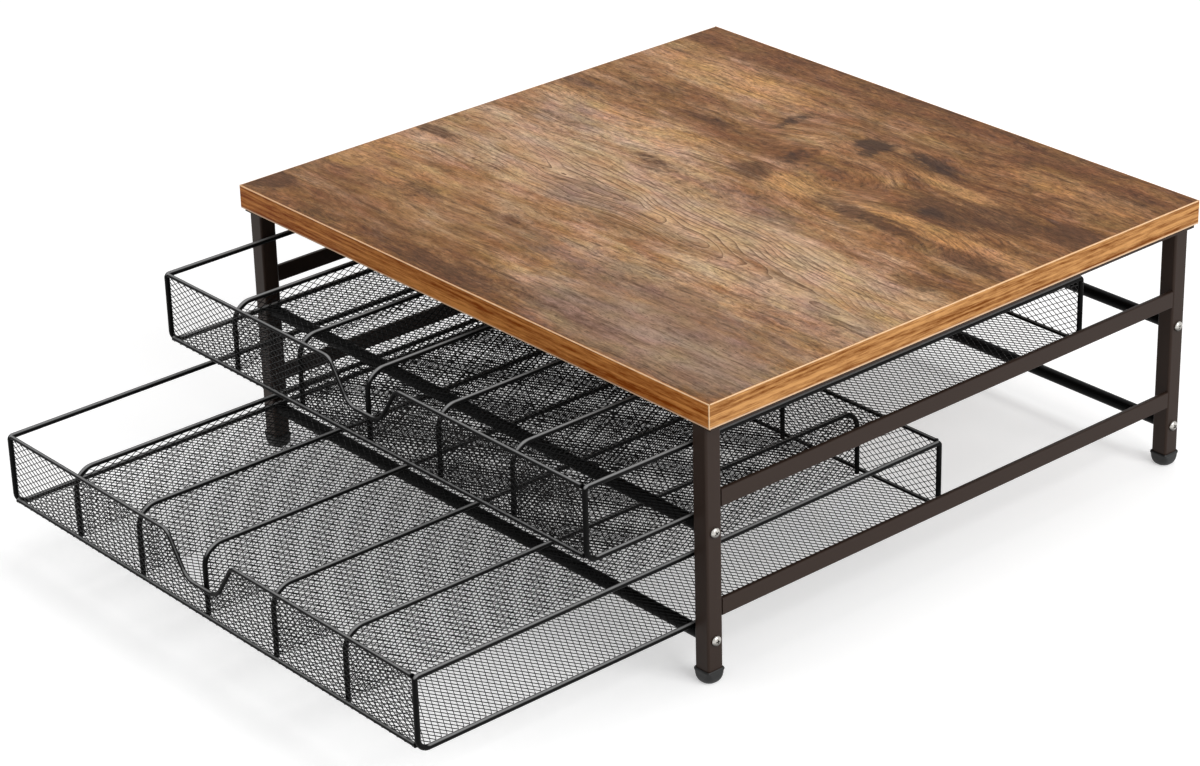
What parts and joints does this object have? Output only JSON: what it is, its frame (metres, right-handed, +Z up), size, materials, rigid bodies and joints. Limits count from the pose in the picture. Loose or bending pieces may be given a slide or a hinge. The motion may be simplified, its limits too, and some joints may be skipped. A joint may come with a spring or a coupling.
{
  "type": "coffee pod rack",
  "caption": "Low countertop rack with a wood top on a steel frame and two sliding wire mesh drawers, stacked, each divided into rows for coffee pods.",
  "frame": {"origin": "on the table, under the middle of the top board", "axes": "+X to the right seen from the front, the drawers pull out along -Y, +Z up"},
  "size_m": [0.358, 0.4971, 0.149],
  "materials": {
    "wood_laminate": "matte printed laminate on particle board, rustic brown",
    "edge_band": "satin wood-print edge band, orange brown",
    "powder_coat": "satin brown-black powder coat",
    "black_wire": "satin black powder coat",
    "black_mesh": "satin black powder coat",
    "foot_plastic": "black moulded plastic",
    "screw_steel": "bright zinc plated"
  },
  "bodies": {
    "rack": {"top_board": "wood_laminate", "edge_band_front": "edge_band", "edge_band_rear": "edge_band", "edge_band_left": "edge_band", "edge_band_right": "edge_band", "leg_front_left": "powder_coat", "leg_front_right": "powder_coat", "leg_rear_left": "powder_coat", "leg_rear_right": "powder_coat", "foot_front_left": "foot_plastic", "foot_front_right": "foot_plastic", "foot_rear_left": "foot_plastic", "foot_rear_right": "foot_plastic", "top_strip_left": "powder_coat", "top_strip_right": "powder_coat", "side_rail_lower_left": "powder_coat", "side_rail_lower_right": "powder_coat", "side_rail_upper_left": "powder_coat", "side_rail_upper_right": "powder_coat", "cross_bar_lower_front": "powder_coat", "cross_bar_lower_rear": "powder_coat", "cross_bar_upper_front": "powder_coat", "cross_bar_upper_rear": "powder_coat", "frame_screws": "screw_steel", "board_screws": "screw_steel"},
    "lower_drawer": {"lower_side_loop_left": "black_wire", "lower_side_loop_right": "black_wire", "lower_front_rim_wire": "black_wire", "lower_rear_rim_wire": "black_wire", "lower_front_bottom_wire": "black_wire", "lower_rear_bottom_wire": "black_wire", "lower_divider_wires": "black_wire", "lower_front_mesh": "black_mesh", "lower_rear_mesh": "black_mesh", "lower_floor_mesh": "black_mesh", "lower_divider_mesh_1": "black_mesh", "lower_divider_mesh_2": "black_mesh", "lower_divider_mesh_3": "black_mesh", "lower_divider_mesh_4": "black_mesh", "lower_divider_mesh_5": "black_mesh"},
    "upper_drawer": {"upper_side_loop_left": "black_wire", "upper_side_loop_right": "black_wire", "upper_front_rim_wire": "black_wire", "upper_rear_rim_wire": "black_wire", "upper_front_bottom_wire": "black_wire", "upper_rear_bottom_wire": "black_wire", "upper_divider_wires": "black_wire", "upper_front_mesh": "black_mesh", "upper_rear_mesh": "black_mesh", "upper_floor_mesh": "black_mesh", "upper_divider_mesh_1": "black_mesh", "upper_divider_mesh_2": "black_mesh", "upper_divider_mesh_3": "black_mesh", "upper_divider_mesh_4": "black_mesh", "upper_divider_mesh_5": "black_mesh"}
  },
  "joints": [
    {"name": "lower_drawer_slide", "type": "slide", "parent": "rack", "child": "lower_drawer", "axis": [0, -1, 0], "range_m": [-0.164, 0.066]},
    {"name": "upper_drawer_slide", "type": "slide", "parent": "rack", "child": "upper_drawer", "axis": [0, -1, 0], "range_m": [-0.064, 0.166]}
  ]
}
